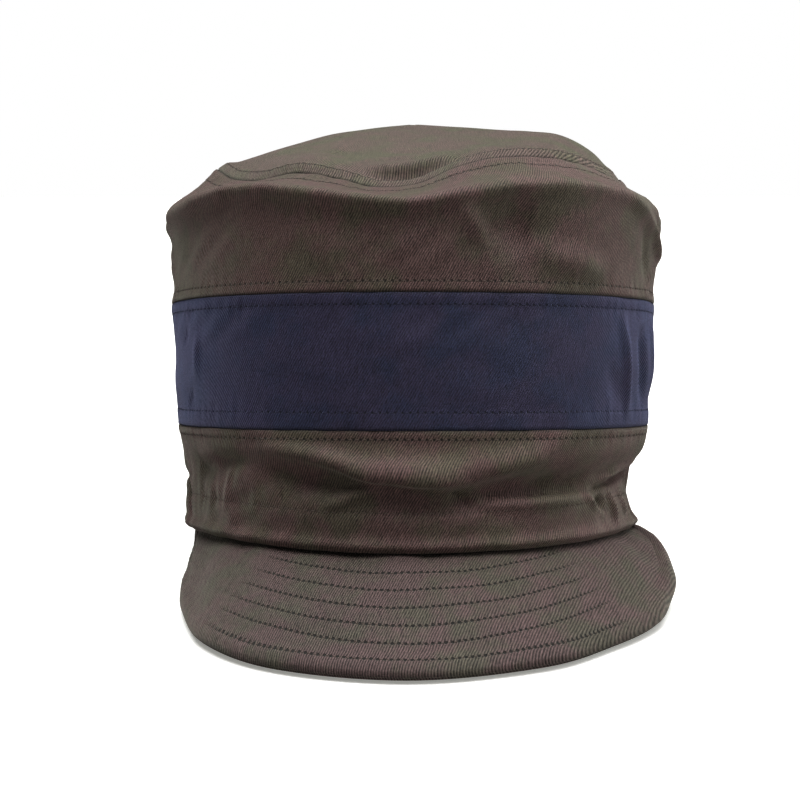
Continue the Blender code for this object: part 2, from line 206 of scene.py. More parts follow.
# Sharper creases that the cloth itself shows: a line from one place to another on the crown
creases = np.array([
    # turn, level, to turn, to level, half width in mm, height in mm
    (-30, 0.86, -17, 0.78, 2.6, 1.8),  # swag over the casing in front
    (-18, 0.79, -8, 0.66, 2.6, 2.8),
    (-10, 0.66, 10, 0.60, 3.6, 4.2),
    (10, 0.60, 25, 0.78, 4.0, 1.8),
    (-34, 0.70, -14, 0.52, 4.2, -1.9),
    (-7, 0.54, -17, 0.38, 2.3, 1.9),
    (-10, 0.40, 5, 0.36, 4.0, -1.0),
    (9, 0.53, 35, 0.54, 4.4, -2.4),
    (12, 0.47, 36, 0.49, 1.7, -1.6),
    (14, 0.38, 34, 0.42, 2.6, 1.7),
    (-34, 0.34, 10, 0.28, 4.0, 0.8),
    (7, 0.50, 10.5, 0.38, 1.4, -1.8),
    (-47, 0.70, -35, 0.73, 3.4, -2.8),  # dents and gathers at the left
    (-57, 0.66, -49, 0.58, 4.0, -1.8),
    (-51, 0.62, -41, 0.58, 4.5, -2.0),
    (-41, 0.62, -43, 0.22, 1.8, 0.9),
    (-37, 0.68, -40, 0.42, 1.8, 0.5),
    (-52, 0.46, -54, 0.18, 1.6, 0.9),
    (-70, 0.52, -90, 0.52, 2.0, -1.8),
    (-47, 0.50, -48, 0.26, 1.8, -0.9),
    (-33, 0.55, -34, 0.25, 1.7, 0.6),
    (-63, 0.50, -62, 0.20, 1.6, 1.2),
    (39, 0.46, 64, 0.62, 1.2, -2.2),  # pinch and gathers at the right
    (40, 0.53, 62, 0.70, 1.8, 1.6),
    (37, 0.42, 43, 0.23, 1.4, 1.3),
    (46, 0.44, 50, 0.14, 1.5, 1.5),
    (40.5, 0.38, 44, 0.27, 2.4, -2.2),
    (52, 0.42, 57, 0.18, 1.5, 1.2),
    (64, 0.34, 100, 0.16, 8.0, -3.4),
    (-58, 2.45, -33, 2.51, 2.4, 1.8),  # shoulder crease, and the hollow under it
    (-33, 2.51, 2, 2.50, 2.6, 1.9),
    (2, 2.50, 16, 2.53, 2.6, 1.2),
    (-62, 2.38, -26, 2.38, 6.0, -1.3),
    (-26, 2.38, 12, 2.37, 6.0, -1.1),
    (16, 2.32, 22, 2.29, 5.0, -2.4),
    (8, 2.43, 13, 2.24, 2.4, 1.7),
    (24, 2.18, 38, 2.11, 2.9, 1.6),
    (48, 2.47, 62, 2.38, 2.0, 1.8),
    (62, 2.38, 70, 2.26, 1.8, 2.6),
    (69, 2.26, 61, 2.10, 1.8, 1.6),
    (61, 2.10, 57, 2.02, 1.8, 0.9),
    (56, 2.32, 60, 2.14, 3.0, -1.4),
    (20, 2.60, 60, 2.62, 3.0, -0.8),
    (-74, 2.30, -68, 2.14, 2.5, 1.0),
    (46, 1.84, 49, 1.12, 2.3, 1.9),  # soft lines of the band
    (55, 1.72, 57, 1.22, 3.0, -2.2),
    (62, 1.84, 63, 1.30, 2.2, 1.2),
    (41, 1.50, 45, 1.16, 3.0, -0.5),
    (-57, 1.74, -55, 1.70, 3.5, -1.0),
    (-55, 1.26, -53, 1.20, 3.5, -1.0),
    (-50, 1.70, -50, 1.42, 2.2, 1.1),
    (-14, 1.70, 16, 1.60, 4.0, 0.3),
    (2, 1.34, 30, 1.24, 4.0, 0.3),
    (-30, 1.40, -12, 1.28, 4.0, -0.3),
    (-13, 3.075, 11, 3.08, 1.3, -1.4),  # dents of the top behind its seam
    (-13, 3.14, 11, 3.145, 1.8, 3.2),
    (-14, 3.22, 12, 3.22, 3.5, 2.4),
    (16, 3.22, 34, 3.30, 5.0, 1.2),
    (-30, 3.32, -18, 3.26, 4.0, -1.6),
    (20, 3.30, 42, 3.26, 5.0, -0.7),
    (-60, 3.22, -40, 3.35, 4.0, 0.8),
    (150, 3.25, 178, 3.32, 5.0, -1.0),
    (-130, 3.30, -100, 3.24, 5.0, 0.8),
    (92, 0.86, 128, 0.64, 3.0, 1.1),  # sides and back, which only other views show
    (-98, 0.88, -136, 0.66, 3.0, 1.2),
    (150, 0.80, 176, 0.66, 3.4, 0.9),
    (-172, 0.62, -150, 0.78, 3.4, -1.0),
    (104, 1.78, 116, 1.22, 3.0, 0.7),
    (-118, 1.76, -106, 1.26, 3.0, 0.7),
    (158, 1.70, 150, 1.30, 3.2, -0.6),
    (92, 2.36, 128, 2.30, 5.0, -1.6),
    (132, 2.50, 172, 2.52, 2.6, 1.0),
    (-168, 2.34, -128, 2.32, 5.0, -1.5),
    (-120, 2.50, -92, 2.52, 2.6, 1.1),
])


# A smooth curve through a table's rows: cubic steps, the slope at a row taken across its neighbours
def smoothThrough(places, values, at):
    gaps = np.diff(places)
    steps = np.diff(values, axis=0) / gaps[:, None]
    inner = (values[2:] - values[:-2]) / (places[2:] - places[:-2])[:, None]
    slopes = np.concatenate([steps[:1], inner, steps[-1:]])
    row = np.clip(np.searchsorted(places, at, side="right") - 1, 0, len(gaps) - 1)
    share = (at - places[row]) / gaps[row]

    def pick(table, rows):
        wide = np.broadcast_to(table, (len(table), at.shape[1]))
        return np.take_along_axis(wide, rows, axis=0)

    rising = share * share * (3 - 2 * share)
    level = pick(values, row) * (1 - rising) + pick(values, row + 1) * rising
    leaving = share * (1 - share) ** 2 * pick(slopes, row)
    arriving = share * share * (share - 1) * pick(slopes, row + 1)
    return level + gaps[row] * (leaving + arriving)


# A column of a table that goes once round, from -180 to 180 degrees
def roundTable(table, column, turns):
    once = table[:-1]
    places = np.concatenate([once[:, 0] - 360, once[:, 0], once[:, 0] + 360])
    values = np.tile(once[:, column], 3)[:, None]
    return smoothThrough(places, values, ((turns + 180) % 360 - 180)[:, None])[:, 0]


# Left, right, front and back values, blended by the squares of sine and cosine
def blendSides(left, right, front, back, turns):
    across, ahead = np.sin(np.radians(turns)), np.cos(np.radians(turns))
    side, end = np.where(across > 0, right, left), np.where(ahead > 0, front, back)
    return side * across**2 + end * ahead**2


# Outward push of the folds: exp(-u^2 - v^2), u round the crown and v along its height
def foldPush(turns, levels):
    push = np.zeros(levels.shape)
    for turn, level, around, along, depth, lean, bow in folds:
        across = ((turns - turn + 180) % 360 - 180) / around
        up = (levels - level - bow * across**2) / along - lean * across
        push = push + depth * cap["foldDepth"] * np.exp(-(across**2) - up**2)
    return push


# Ripples of the drawn-in rim: a cosine round the crown, strongest at the casing's stitches
def gatherPush(turns, levels):
    count = round(math.pi * sum(cap["rim"]) / 2 / cap["gatherPitch"])
    wave = np.cos(np.radians(count * turns) + 0.6 * np.sin(np.radians(3 * turns)) + 0.5 * levels)
    fade = np.exp(-(((levels - 0.32) / 0.30) ** 2)) * np.clip(1 - levels, 0, 1)
    return cap["gatherDepth"] * roundTable(gathers, 1, turns) * wave * fade


# The crown for turns (n,) and levels (m, n): at each level the superellipse through its four
# radii, at the height of that level, moved by folds and gathers
def crown(turns, levels):
    rules = (0, 1, cap["creaseLevel"], 3)
    halves = [
        np.interp(sections[:, 0], rules, [cap[size][way] / 2 for size in ("rim", "body", "body", "top")])
        for way in (0, 1)
    ]
    sizes = sections[:, 1:] * np.stack([halves[0], halves[0], halves[1], halves[1]], axis=1)
    places = np.concatenate([sections[:, 0], [3.5, 4.0]])
    sizes = np.concatenate([sizes, sizes[-1:] / 2, sizes[-1:] * 0])
    left, right, front, back = (smoothThrough(places, sizes[:, [side]], levels) for side in range(4))
    across, ahead = np.sin(np.radians(turns)), np.cos(np.radians(turns))
    width, depth = np.where(across > 0, right, left), np.where(ahead > 0, front, back)
    power = cap["squareness"]
    radius = (np.abs(across / width) ** power + np.abs(ahead / depth) ** power) ** (-1 / power)

    flat = np.zeros(len(turns))
    rim = roundTable(rimLift, 1, turns) / 1000
    bandTop = cap["lower"] + cap["band"]
    crease = bandTop + cap["upper"] * roundTable(shoulder, 1, turns)
    seam = bandTop + cap["upper"] * roundTable(shoulder, 2, turns)
    rows = [rim, rim / 4 + cap["lower"] / 2, flat + cap["lower"], flat + bandTop - cap["band"] / 2]
    rows += [flat + bandTop, (crease + bandTop) / 2, crease]
    rows += [crease + cap["shoulderRounding"] * (seam - crease)]
    middle = cap["creaseLevel"]
    places = [0, 0.5, 1, 1.5, 2, (2 + middle) / 2, middle, (middle + 3) / 2]
    top = bandTop + cap["upper"]
    for level, *sides in dome:
        dip = (seam - top) * (4 - level) ** cap["dipFade"]
        rows.append(top + cap["dome"] * blendSides(*sides, turns) + dip)
        places.append(level)
    height = smoothThrough(np.array(places), np.array(rows), levels)

    push = foldPush(turns, levels) + gatherPush(turns, levels)
    upward = np.clip(levels - middle, 0, 1) * math.pi / 2
    radius = radius + push * np.cos(upward)
    return np.stack([radius * across, -radius * ahead, height + push * np.sin(upward)], axis=-1)


def unit(vectors):
    return vectors / np.maximum(np.linalg.norm(vectors, axis=-1, keepdims=True), 1e-12)


# The floor in the upright frame is a plane through the rim's back and under the visor's tip
def rimTips():
    front, back = crown(np.array([0.0, 180.0]), np.zeros((1, 2)))[0, :, 1]
    return front - cap["visorReach"], back


tipY, backY = rimTips()
lean = math.atan2(cap["visorDrop"], backY - tipY)
floorUp = np.array([0.0, -math.sin(lean), math.cos(lean)])


def floorAt(y):
    return math.tan(lean) * (y - backY)


def overFloor(points):
    return (points[..., 2] - floorAt(points[..., 1])) * math.cos(lean)


# Upright points to where the cap stands: turned about X by the lean, then moved
def stand(points):
    y, z = points[..., 1], points[..., 2]
    ahead = y * math.cos(lean) + z * math.sin(lean)
    up = z * math.cos(lean) - y * math.sin(lean)
    return np.stack([points[..., 0], ahead, up], axis=-1) + cap["standsAt"]


# Outward directions of a grid: the cross product of its two ways
def outwards(grid, closed):
    if closed:
        wide = np.concatenate([grid[:, -1:], grid, grid[:, :1]], axis=1)
        across = wide[:, 2:] - wide[:, :-2]
    else:
        across = np.gradient(grid, axis=1)
    return unit(np.cross(across, np.gradient(grid, axis=0)))


# Distance along each column from its first row
def climb(grid):
    steps = np.linalg.norm(np.diff(grid, axis=0), axis=-1)
    return np.concatenate([np.zeros((1, grid.shape[1])), np.cumsum(steps, axis=0)])


# Distance along each row from its first column, with one more column where the ring closes
def goRound(grid):
    ring = np.concatenate([grid, grid[:, :1]], axis=1)
    steps = np.linalg.norm(np.diff(ring, axis=1), axis=-1)
    return np.concatenate([np.zeros((len(grid), 1)), np.cumsum(steps, axis=1)], axis=1)


# An even wavering between -1 and 1: a sum of cosines with seeded phases, whole waves round
def waver(share, waves, seed):
    chance = np.random.default_rng(seed)
    total = np.zeros(np.shape(share))
    for count in waves:
        total = total + np.cos(2 * math.pi * (count * share + chance.random()))
    return total / math.sqrt(len(waves))


# A smooth hump across a line: height * exp(-(off / width)^2)
def hump(height, off, width):
    return height * np.exp(-((off / width) ** 2))


# How far a rolled edge falls back: a quarter circle of that radius, 0 from one radius inwards
def rollBack(distance, radius):
    inside = np.clip(1 - distance / radius, 0, 1)
    return radius * (1 - np.sqrt(1 - inside**2))


# Push of the sharp creases: exp(-(d / half width)^2), d the distance to the line, and its ends fade
def creasePush(turns, levels):
    push = np.zeros(levels.shape)
    reach = np.array([0.00163, 0.044])  # metres per degree and per level
    for turn, level, toTurn, toLevel, halfWidth, height in creases:
        ahead = np.array([toTurn - turn, toLevel - level]) * reach
        length = math.hypot(*ahead)
        off = np.broadcast_to((turns - turn + 180) % 360 - 180, levels.shape)
        fromStart = np.stack([off, levels - level], axis=-1) * reach
        along = np.clip(fromStart @ ahead / length**2, 0, 1)
        gap = np.linalg.norm(fromStart - along[..., None] * ahead, axis=-1)
        swell = np.sqrt(np.clip(4 * (0.04 + along) * (1.04 - along) / 1.08**2, 0, 1))
        push = push + hump(height / 1000 * swell, gap, halfWidth / 1000)
    return push


# A mesh of the grid's quads, with its UV maps given at the grid's points. A closed grid joins
# its last column to its first, and a pole closes the last row with a fan.
def clothMesh(name, grid, closed, maps, pole=None):
    rows, columns = grid.shape[:2]
    index = np.arange(rows * columns).reshape(rows, columns)
    if closed:
        index = np.concatenate([index, index[:, :1]], axis=1)

    def corners(values):
        low, high = values[:-1], values[1:]
        return np.stack([low[:, :-1], low[:, 1:], high[:, 1:], high[:, :-1]], axis=2)

    faces = corners(index).reshape(-1, 4).tolist()
    points = grid.reshape(-1, 3)
    if pole is not None:
        faces += [(low, high, len(points)) for low, high in zip(index[-1, :-1], index[-1, 1:])]
        points = np.concatenate([points, pole["point"][None]])
    mesh = bpy.data.meshes.new(name)
    mesh.from_pydata(stand(points).tolist(), [], faces)
    for title, values in maps.items():
        loops = corners(values).reshape(-1, 2)
        if pole is not None:
            last = values[-1]
            tip = np.broadcast_to(pole[title], last[:-1].shape)
            loops = np.concatenate([loops, np.stack([last[:-1], last[1:], tip], axis=1).reshape(-1, 2)])
        layer = mesh.uv_layers.new(name=title)
        layer.data.foreach_set("uv", loops.astype(np.float32).ravel())
    mesh.shade_smooth()
    return mesh


def addPiece(name, mesh, material, nodes=(), thickness=0):
    piece = bpy.data.objects.new(name, mesh)
    bpy.context.scene.collection.objects.link(piece)
    mesh.materials.append(material)
    if thickness:
        wall = piece.modifiers.new("cloth", "SOLIDIFY")
        wall.thickness = thickness
        wall.offset = -1
    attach(piece, "root")
    if nodes:
        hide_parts(*nodes)


# One socket with arithmetic: each operator adds a Math node behind it
class Flow:
    def __init__(self, recipe, socket):
        self.recipe = recipe
        self.socket = socket

    def math(self, operation, *others):
        values = dict(enumerate((self, *others)))
        made = self.recipe.add("Math", {"operation": operation}, values)
        return Flow(self.recipe, made.outputs[0])

    def __add__(self, other):
        return self.math("ADD", other)

    def __sub__(self, other):
        return self.math("SUBTRACT", other)

    def __rsub__(self, other):
        return (self * -1) + other

    def __mul__(self, other):
        return self.math("MULTIPLY", other)

    def __truediv__(self, other):
        return self.math("DIVIDE", other)

    __radd__ = __add__


# A node tree being made up: add() sets a new node's settings first and then its sockets
class Recipe:
    def __init__(self, owner):
        owner.use_nodes = True
        self.tree = owner.node_tree
        self.shader = self.tree.nodes.get("Principled BSDF")

    def add(self, kind, settings=None, values=None):
        made = self.tree.nodes.new("ShaderNode" + kind)
        for name, value in (settings or {}).items():
            setattr(made, name, value)
        for name, value in (values or {}).items():
            self.feed(made.inputs[name], value)
        return made

    def feed(self, place, value):
        if isinstance(value, Flow):
            self.tree.links.new(value.socket, place)
        else:
            place.default_value = value

    def flow(self, made, out=0):
        return Flow(self, made.outputs[out])

    def uv(self, title):
        split = self.add("SeparateXYZ", None, {0: self.flow(self.add("UVMap", {"uv_map": title}))})
        return self.flow(split, 0), self.flow(split, 1)

    def plane(self, x, y, z=0.0):
        return self.flow(self.add("CombineXYZ", None, {0: x, 1: y, 2: z}))

    def blend(self, share, first, second):
        return self.flow(self.add("Mix", {"data_type": "RGBA"}, {0: share, 6: first, 7: second}), 2)

    def noise(self, place, scale, detail=2.0, roughness=0.5):
        values = {"Vector": place, "Scale": scale, "Detail": detail, "Roughness": roughness}
        return self.flow(self.add("TexNoise", None, values), 0)


# How fine the weave's unevenness is, in waves per metre: of the ribs' sway, of the floats along a
# rib, of warp and weft yarns across and along themselves, of the dye and of specks
unevenness = {
    "sway": 160.0, "swayWidth": 0.0009,
    "floats": 800,
    "yarn": (2600, 130), "pick": (110, 2300),
    "dye": 60.0, "wash": 14.0, "speck": 1300.0,
}


# Twill: slanted ribs as a cosine across the rib's way, broken into floats by noise stretched
# along it. Yarns differ by noise stretched along the warp, and the dye by broad noise. The
# colour also holds painted shade: in the grooves between the ribs (besides the weave's own
# pattern), in needle holes and beside sewn edges. A row of holes is: distance from an edge,
# stitches round, their length, whether the edge is the lower one and how dark the painted shade
# in its holes is.
def twill(name, look, holes, channels=None):
    material = bpy.data.materials.new(name)
    recipe = Recipe(material)
    u, v = recipe.uv("weave")
    around, fromTop = recipe.uv("sewing")
    body = recipe.flow(recipe.add("TexCoord"), 3)

    angle = math.radians(look["ribAngle"])
    across = u * math.sin(angle) - v * math.cos(angle)
    along = u * math.cos(angle) + v * math.sin(angle)
    sway = recipe.noise(body, unevenness["sway"], 3.0)
    ribs = (across + (sway - 0.5) * unevenness["swayWidth"]) / look["ribPitch"]
    rib = (ribs * (2 * math.pi)).math("COSINE") * 0.5 + 0.5
    floatPlace = recipe.plane(across / look["ribPitch"], along * unevenness["floats"])
    cut = recipe.noise(floatPlace, 0.9, 2.0, 0.7)
    yarn, pick = (
        recipe.noise(recipe.plane(u * wide, v * high), 1.0, 2.0, 0.6)
        for wide, high in (unevenness["yarn"], unevenness["pick"])
    )
    dye = recipe.noise(body, unevenness["dye"], 5.0, 0.62)
    wash = recipe.noise(body, unevenness["wash"], 2.0)
    speck = recipe.noise(body, unevenness["speck"], 2.0, 0.7)

    # needle holes: round spots of painted shade at both ends of each stitch of a row
    def spots(stitches, pitch, aside):
        gap = stitches.math("FRACT") - 0.5
        gap = (0.5 - gap.math("ABSOLUTE")) * pitch
        return (1 - (gap * gap + aside * aside) * (1 / look["holeRadius"] ** 2)).math("MAXIMUM", 0.0)

    paintedShade = None
    for distance, count, pitch, fromLow, dark in holes:
        near = spots(around * count, pitch, (v if fromLow else fromTop) - distance)
        near = (near * 1.8).math("MINIMUM", 1.0) * dark
        paintedShade = near if paintedShade is None else paintedShade + near
    # the visor's rows of holes: painted shade in their needle holes, as far as each row reaches
    if channels:
        lane = (fromTop - channels["first"]) / channels["pitch"]
        nearest = (lane + 0.5).math("FLOOR").math("MAXIMUM", 0.0).math("MINIMUM", channels["rows"] - 1)
        near = spots(around / channels["stitch"], channels["stitch"], (lane - nearest) * channels["pitch"])
        side = recipe.flow(recipe.add("SeparateXYZ", None, {0: body}), 0).math("ABSOLUTE")
        left = (channels["end"] - nearest * channels["endStep"] - side) * 160
        paintedShade = (near * 1.9).math("MINIMUM", 0.95) * left.math("MAXIMUM", 0.0).math("MINIMUM", 1.0)
    # painted shade: the colour is darker close to the cloth's sewn edges, where shade falls into the seams;
    # the rim's edge, with its stitches far in, is a fold and gets none
    edge = (1 - fromTop / look["edgeWidth"]).math("MAXIMUM", 0.0)
    if any(fromLow and distance < 0.01 for distance, _, _, fromLow, _ in holes):
        edge = edge + (1 - v / look["edgeWidth"]).math("MAXIMUM", 0.0)
    paintedShade = (paintedShade + edge * look["paintedEdgeShade"]).math("MINIMUM", 0.9)

    tint = recipe.blend((dye - 0.5) * 6.0 + 0.35 + (yarn - 0.5) * 0.8, look["warm"], look["cool"])
    worn = (yarn - 0.5) * look["yarnContrast"] + (pick - 0.5) * 0.4 + (speck - 0.5) * 1.7 + (wash - 0.5) * 0.4
    # ribs: their crests lighter and the grooves between darker in the colour, partly the weave's own pattern
    # and partly painted shade of the grooves
    ribbed = (rib - 0.45) * (0.50 + (cut - 0.4) * 3.4).math("MAXIMUM", 0.0) * look["ribContrast"]
    light = (0.94 + worn + ribbed).math("MAXIMUM", 0.15)
    # the painted shade of needle holes and seams darkens the colour
    light = light * (1 - paintedShade)
    grey = recipe.plane(light, light, light)
    colour = recipe.flow(recipe.add("VectorMath", {"operation": "MULTIPLY"}, {0: tint, 1: grey}))
    recipe.feed(recipe.shader.inputs["Base Color"], colour)
    recipe.feed(recipe.shader.inputs["Roughness"], 0.62 + (speck - 0.5) * 0.2 + (1 - rib) * 0.1)
    recipe.shader.inputs["Specular IOR Level"].default_value = look["specular"]
    recipe.shader.inputs["Sheen Weight"].default_value = look["sheen"]
    recipe.shader.inputs["Sheen Roughness"].default_value = 0.45
    recipe.shader.inputs["Sheen Tint"].default_value = look["sheenTint"]

    height = rib * (0.3 + cut * 1.2) + (yarn - 0.5) * 0.6 - paintedShade * 1.8
    bump = recipe.add("Bump", None, {"Strength": 0.8, "Distance": 0.00022, "Height": height})
    recipe.feed(recipe.shader.inputs["Normal"], recipe.flow(bump))
    return material


# Looks of the cloths: the edge shade is painted shade beside the seams, and the holes' darkness is painted
# shade in the needle holes
oliveLook = {
    "warm": (0.122, 0.076, 0.071, 1), "cool": (0.097, 0.081, 0.059, 1),
    "ribAngle": 60, "ribPitch": 0.00082, "ribContrast": 1.35, "yarnContrast": 1.4,
    "holeRadius": 0.00056, "paintedEdgeShade": 0.7, "edgeWidth": 1 / 850,
    "sheen": 0.26, "sheenTint": (1.0, 1.0, 0.86, 1), "specular": 0.36,
}
navyLook = {
    "warm": (0.046, 0.040, 0.078, 1), "cool": (0.032, 0.036, 0.074, 1),
    "ribAngle": 60, "ribPitch": 0.00082, "ribContrast": 0.8, "yarnContrast": 1.0,
    "holeRadius": 0.00050, "paintedEdgeShade": 0.5, "edgeWidth": 1 / 850,
    "sheen": 0.36, "sheenTint": (0.55, 0.62, 1.0, 1), "specular": 0.34,
}


# Spun thread: ply twists as slanted bands along each stitch, lower in the bump and darker in the colour in
# the grooves between plies, which is painted shade
def threadMaterial(name, look):
    material = bpy.data.materials.new(name)
    recipe = Recipe(material)
    u, v = recipe.uv("weave")
    twist = ((u * 6 + v * 2) * (2 * math.pi)).math("COSINE") * 0.5 + 0.5
    tint = recipe.blend(twist * 0.6 + 0.2, look["dark"], look["light"])
    recipe.feed(recipe.shader.inputs["Base Color"], tint)
    recipe.shader.inputs["Roughness"].default_value = 0.6
    recipe.shader.inputs["Specular IOR Level"].default_value = 0.35
    bump = recipe.add("Bump", None, {"Strength": 0.5, "Distance": 0.00008, "Height": twist})
    recipe.feed(recipe.shader.inputs["Normal"], recipe.flow(bump))
    return material


# thread colours: dark in the ply grooves, as painted shade, and light on the plies
oliveThread = {"dark": (0.100, 0.080, 0.068, 1), "light": (0.150, 0.120, 0.102, 1)}
navyThread = {"dark": (0.024, 0.024, 0.052, 1), "light": (0.046, 0.048, 0.090, 1)}


# The line on a grid where a distance field has one value, column by column
def lineOn(grid, facing, field, at):
    row = np.clip((field < at).sum(axis=0) - 1, 0, len(grid) - 2)
    column = np.arange(grid.shape[1])
    low, high = field[row, column], field[row + 1, column]
    share = ((at - low) / (high - low))[:, None]
    place = grid[row, column] * (1 - share) + grid[row + 1, column] * share
    return place, facing[row, column] * (1 - share) + facing[row + 1, column] * share


stitchShape = {"radius": 0.00014, "share": 0.56, "sunk": 0.00026, "raised": 0.00007, "sides": 6}


# Stitches on a line that is known at rising phases, one stitch for each whole phase: tubes with
# their centre at line + facing * (raised in the middle, sunk at both ends)
def stitchTubes(place, facing, phase, first, count):
    along = np.array([0.0, 0.14, 0.5, 0.86, 1.0])
    lift = np.array([-1.0, 0.35, 1.0, 0.35, -1.0])
    lift = np.where(lift > 0, lift * stitchShape["raised"], lift * stitchShape["sunk"])
    girth = stitchShape["radius"] * np.array([0.55, 0.95, 1.0, 0.95, 0.55])
    margin = (1 - stitchShape["share"]) / 2
    at = first + np.arange(count)[:, None] + margin + stitchShape["share"] * along
    middle = np.stack([np.interp(at, phase, place[:, axis]) for axis in range(3)], axis=-1)
    up = unit(np.stack([np.interp(at, phase, facing[:, axis]) for axis in range(3)], axis=-1))
    middle = middle + up * lift[:, None]
    ahead = unit(np.gradient(middle, axis=1))
    side = unit(np.cross(ahead, up))
    above = np.cross(side, ahead)
    angles = np.arange(stitchShape["sides"]) * 2 * math.pi / stitchShape["sides"]
    ring = side[..., None, :] * np.cos(angles)[:, None] + above[..., None, :] * np.sin(angles)[:, None]
    return middle[..., None, :] + ring * girth[:, None, None]


# One mesh of many tubes (stitch, ring, side, 3): quads round each, and a flat cap at both ends
def stitchMesh(name, tubes):
    count, rings, sides = tubes.shape[:3]
    index = np.arange(count * rings * sides).reshape(count, rings, sides)
    nextSide = np.roll(index, -1, axis=2)
    quads = np.stack([index[:, :-1], index[:, 1:], nextSide[:, 1:], nextSide[:, :-1]], axis=-1)
    ends = np.concatenate([index[:, 0], index[:, -1, ::-1]])
    mesh = bpy.data.meshes.new(name)
    mesh.from_pydata(stand(tubes.reshape(-1, 3)).tolist(), [], quads.reshape(-1, 4).tolist() + ends.tolist())
    ringAt = np.broadcast_to(np.arange(rings)[:, None] / rings, (rings, sides))
    sideAt = np.broadcast_to(np.arange(sides) / sides, (rings, sides))
    flat = np.tile(np.stack([ringAt, sideAt], axis=-1).reshape(-1, 2), (count, 1))
    loops = np.concatenate([quads.reshape(-1), ends.reshape(-1)])
    mesh.uv_layers.new(name="weave").data.foreach_set("uv", flat[loops].astype(np.float32).ravel())
    mesh.shade_smooth()
    return mesh


print("shape and materials ready")

# Sewing common to the crown's cloths, in metres
sewing = {
    "columns": 600,
    "wall": 0.0009,  # thickness of the cloth
    "roll": 0.0007,  # radius of a seam's rolled edge
    "edgeRows": 4,
    "allowance": 0.00028,  # how much the doubled cloth beside a seam stands up
    "allowanceFade": 0.00035,
    "ditch": 0.00012,  # depth and half width of the line that a row of stitches presses in
    "ditchWidth": 0.0006,
    "pucker": 0.00012,  # height of the puckers at a seam, and how far they go
    "puckerReach": 0.0035,
    "backRoll": 0.0007,  # roll of the seam down the back, and the share of it that shows
    "backShare": 0.9,
    "stitch": 0.0024,  # length of one stitch of the seams, holes and all
}
tubeSets = {"olive": [], "navy": []}


# Levels of the rows so that they lie at wanted distances along the cloth: close together in the
# rolled edges and even in between. Each round moves a row by its error over the local slope.
def spacedLevels(turns, low, high, rows, rollHigh=True):
    share = np.linspace(0, 1, rows + 1)[:, None]
    levels = low + (high - low) * share * np.ones(len(turns))
    edge = sewing["roll"] * (1 - np.cos(np.linspace(0, math.pi / 2, sewing["edgeRows"] + 1)))[:, None]
    for again in range(4):
        rise = climb(crown(turns, levels))
        total = rise[-1]
        inner = np.linspace(0, 1, rows + 1 - (2 if rollHigh else 1) * sewing["edgeRows"])[1:-1, None]
        lowEdge = edge * np.ones(len(turns))
        if rollHigh:
            middle = edge[-1] + inner * (total - 2 * edge[-1])
            wanted = np.concatenate([lowEdge, middle, total - lowEdge[::-1]])
        else:
            middle = edge[-1] + inner * (total - edge[-1])
            wanted = np.concatenate([lowEdge, middle, total[None]])
        slope = np.gradient(levels, axis=0) / np.maximum(np.gradient(rise, axis=0), 1e-9)
        moved = levels + (wanted - rise) * slope
        moved[0], moved[-1] = levels[0], levels[-1]
        levels = np.maximum.accumulate(np.clip(moved, low, high), axis=0)
    return levels


# Relief beside a seam at a distance: rolled edge, raised doubled cloth up to the stitches, the
# ditch that they press in, and puckers that fade within a few millimetres
def seamRelief(distance, stitchAt, share, seed, allowance=1.0, pressed=1.0):
    inside = distance - stitchAt
    raised = sewing["allowance"] * allowance / (1 + np.exp(inside / sewing["allowanceFade"]))
    ditch = hump(sewing["ditch"] * pressed, inside, sewing["ditchWidth"])
    puckers = waver(share, (61, 83, 97, 113, 131, 149, 171), seed) * sewing["pucker"]
    puckers = hump(puckers, inside, sewing["puckerReach"])
    return raised - ditch + puckers - rollBack(distance, sewing["roll"])


# Gentle unevenness of the whole cloth: crossed wavers round and up
def clothWaver(share, rise, seed, height):
    return height * (
        0.6 * waver(share + rise * 0.9, (7, 11, 17, 23), seed) * waver(rise * 9 + share, (1, 2, 3), seed + 1)
        + 0.4 * waver(share - rise * 2.1, (29, 37, 43), seed + 2) * waver(rise * 17, (1, 2), seed + 3)
    )


# A closed field with its first column once more at its end
def joined(field):
    return np.concatenate([field, field[:, :1]], axis=1)


# A closed ring of cloth between two levels: its grid, facing and fields
def ringCloth(low, high, rows, relief, settle=None):
    turns = -180 + np.arange(sewing["columns"]) * 360 / sewing["columns"]
    levels = spacedLevels(turns, low, high, rows)
    base = crown(turns, levels)
    if settle:
        base = settle(base, turns, levels)
    facing = outwards(base, True)
    rise = climb(base)
    fromTop = rise[-1] - rise
    middle = goRound(base)[len(base) // 2]
    share = middle / middle[-1]
    push = relief(turns, levels, rise, fromTop, share[:-1]) + creasePush(turns, levels)
    backSeam = np.minimum(share[:-1], 1 - share[:-1]) * middle[-1]
    push = push - rollBack(backSeam, sewing["backRoll"]) * sewing["backShare"]
    grid = base + facing * push[..., None]
    shareAll = np.broadcast_to(share, (len(grid), len(share)))
    maps = {
        "weave": np.stack([shareAll * middle[-1], joined(rise)], axis=-1),
        "sewing": np.stack([shareAll, joined(fromTop)], axis=-1),
    }
    return {"grid": grid, "facing": outwards(grid, True), "rise": rise, "fromTop": fromTop,
            "share": share, "round": middle[-1], "maps": maps}


# A closed row of stitches where a field on a ring of cloth has one value
def sewRing(grid, facing, field, at, share, count, thread):
    place, facing = (np.concatenate([line, line[:1]]) for line in lineOn(grid, facing, field, at))
    tubeSets[thread].append(stitchTubes(place, facing, share * count, 0, count))


